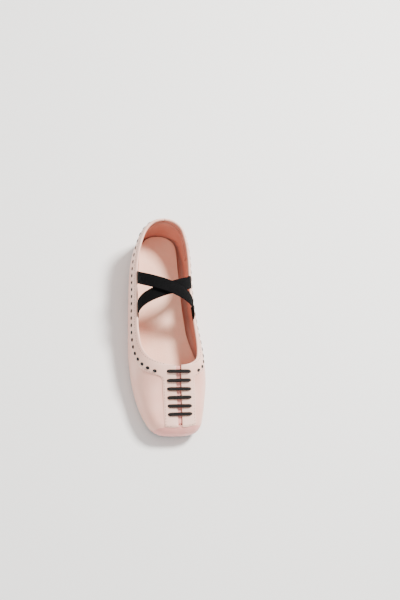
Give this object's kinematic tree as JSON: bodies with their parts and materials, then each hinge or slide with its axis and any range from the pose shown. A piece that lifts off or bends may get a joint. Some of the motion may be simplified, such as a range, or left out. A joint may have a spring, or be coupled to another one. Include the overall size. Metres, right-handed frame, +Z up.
{
  "type": "ballet slipper",
  "caption": "Flat right-foot satin ballet slipper with a square toe, laced front slit, eyelet-lined opening edge and two crossed elastic straps.",
  "frame": {"origin": "centre of the bounding box at the level that the sole stands on", "axes": "+Z up, toe along -Y, heel along +Y, big-toe (medial) side along +X"},
  "size_m": [0.0848, 0.2482, 0.0698],
  "materials": {
    "satin": "smooth satin with a soft sheen",
    "facing": "smooth satin, padded band",
    "lining": "matt leather",
    "sock": "soft matt leather",
    "elastic": "ribbed woven elastic",
    "lace": "braided cord",
    "eyelet": "black lacquer",
    "rubber": "matt",
    "board": "pressed fibre",
    "steel": "plain",
    "foam": "soft foam",
    "stiffener": "fibre leather"
  },
  "bodies": {
    "slipper": {"outsole": "rubber", "heel_lift": "rubber", "bottom_filler": "foam", "shank": "steel", "insole_board": "board", "cushion_pad": "foam", "sock_lining": "sock", "upper_lateral": "satin", "upper_medial": "satin", "toe_tip_panel": "satin", "facing_lateral": "facing", "facing_medial": "facing", "lining_lateral": "lining", "lining_medial": "lining", "heel_grip": "lining", "heel_counter": "stiffener", "toe_puff": "stiffener", "tongue": "satin", "eyelet_row_lateral": "eyelet", "eyelet_row_medial": "eyelet", "lace": "lace", "strap_upper_end_lateral": "elastic", "strap_upper_end_medial": "elastic", "strap_lower_end_lateral": "elastic", "strap_lower_end_medial": "elastic"},
    "upper_strap": {"strap_upper": "elastic"},
    "lower_strap": {"strap_lower": "elastic"}
  },
  "joints": [
    {"name": "upper_strap_lean", "type": "hinge", "parent": "slipper", "child": "upper_strap", "pos_m": [-0.00176, 0.03061, 0.04322], "axis": [0.8083, -0.5833, -0.0804], "range_deg": [-5, 5], "stiffness_Nm_per_rad": 0.005},
    {"name": "lower_strap_lean", "type": "hinge", "parent": "slipper", "child": "lower_strap", "pos_m": [-0.00332, 0.0292, 0.04314], "axis": [0.8587, 0.511, 0.0394], "range_deg": [-5, 5], "stiffness_Nm_per_rad": 0.005}
  ]
}
